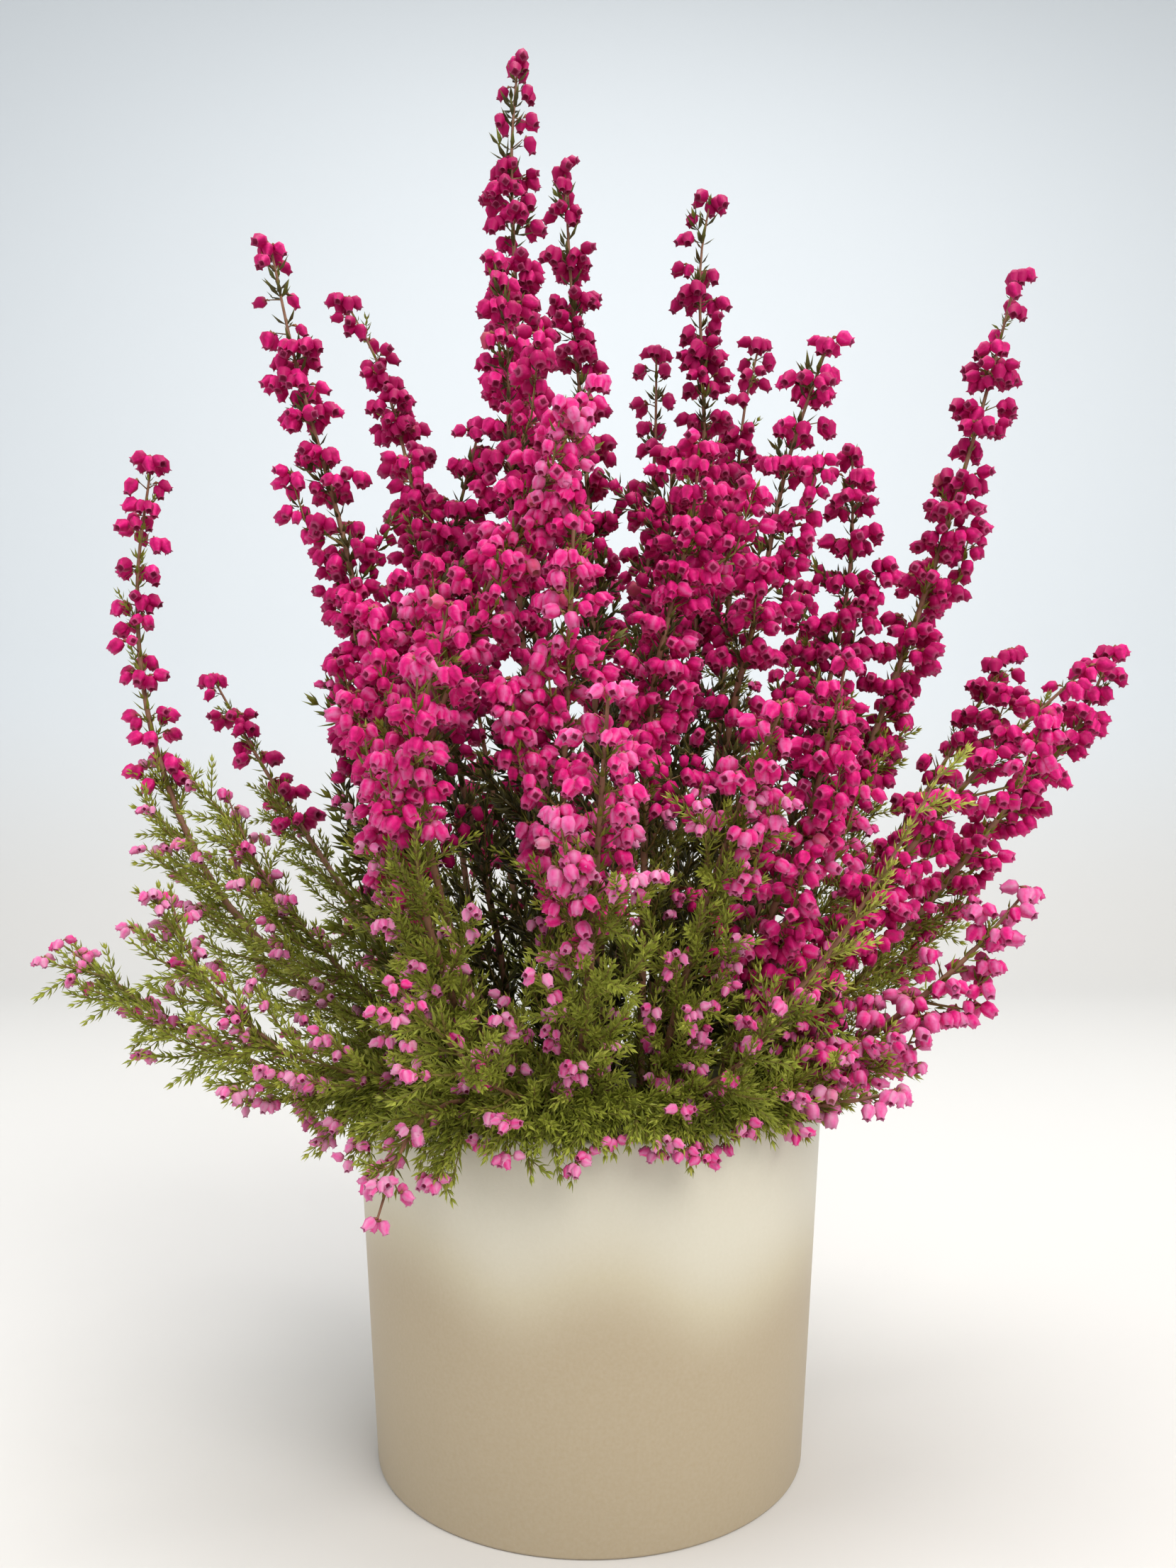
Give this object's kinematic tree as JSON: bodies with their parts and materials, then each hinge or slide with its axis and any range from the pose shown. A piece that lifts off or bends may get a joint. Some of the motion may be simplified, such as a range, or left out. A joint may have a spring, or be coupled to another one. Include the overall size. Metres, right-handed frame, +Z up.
{
  "type": "potted cape heath",
  "caption": "Flowering cape heath: upright and drooping sprays of pink bell flowers over needle-leaved stems, rooted in a nursery pot inside a round frosted cover pot.",
  "frame": {"origin": "centre of the cover pot's flat underside", "axes": "+Z up along the pot's axis, -Y towards the viewer of the picture, +X to that viewer's right"},
  "size_m": [0.3344, 0.249, 0.441],
  "materials": {
    "cover_pot": "frosted satin, cream at the top to warm beige below",
    "nursery_pot": "plain thin-walled grower's pot",
    "soil": "loose dark peat; stands for potting soil",
    "foliage": "matt green needles on red-brown woody stems",
    "flowers_deep": "deep magenta bells, soft sheen",
    "flowers_pink": "bright pink bells, soft sheen",
    "flowers_pale": "pale pink bells, soft sheen"
  },
  "bodies": {
    "root": {"cover_pot": "cover_pot", "nursery_pot": "nursery_pot", "soil": "soil", "leafy_stem_left": "foliage", "leafy_stem_left_front": "foliage", "leafy_stem_inner_left": "foliage", "leafy_stem_back_left": "foliage", "leafy_stem_centre": "foliage", "leafy_stem_inner_back": "foliage", "leafy_stem_back": "foliage", "leafy_stem_back_right": "foliage", "leafy_stem_inner_right": "foliage", "leafy_stem_right": "foliage", "leafy_stem_right_front": "foliage", "leafy_stem_front": "foliage", "leafy_stem_front_right": "foliage", "flowers_left_outer": "flowers_deep", "flowers_left_low": "flowers_pale", "flowers_left_leafy": "flowers_pale", "flowers_left_front_low": "flowers_pale", "flowers_left_front": "flowers_pink", "flowers_front_leaning": "flowers_pink", "flowers_front_drooping": "flowers_pale", "flowers_left_tall": "flowers_deep", "flowers_inner_left": "flowers_deep", "flowers_left_mid": "flowers_pink", "flowers_back_left_tall": "flowers_deep", "flowers_back_left_outer": "flowers_deep", "flowers_back_left_low": "flowers_pale", "flowers_tallest": "flowers_deep", "flowers_centre": "flowers_deep", "flowers_second_tallest": "flowers_deep", "flowers_back_small": "flowers_deep", "flowers_rear_left": "flowers_deep", "flowers_rear": "flowers_deep", "flowers_rear_low": "flowers_pale", "flowers_back_right_tall": "flowers_deep", "flowers_back_right_small": "flowers_deep", "flowers_rear_right": "flowers_deep", "flowers_back_right_low": "flowers_pale", "flowers_right_mid": "flowers_pink", "flowers_inner_right": "flowers_deep", "flowers_right_inner": "flowers_deep", "flowers_right_tall": "flowers_deep", "flowers_right_outer": "flowers_deep", "flowers_back_right_outer": "flowers_deep", "flowers_right_front": "flowers_pink", "flowers_right_low": "flowers_pale", "flowers_right_rim": "flowers_pale", "flowers_right_near": "flowers_pink", "flowers_front": "flowers_pink", "flowers_nearest": "flowers_pink", "flowers_front_low": "flowers_pale", "flowers_front_right": "flowers_pink", "flowers_front_right_near": "flowers_pink", "flowers_front_right_low": "flowers_pale"}
  },
  "joints": []
}
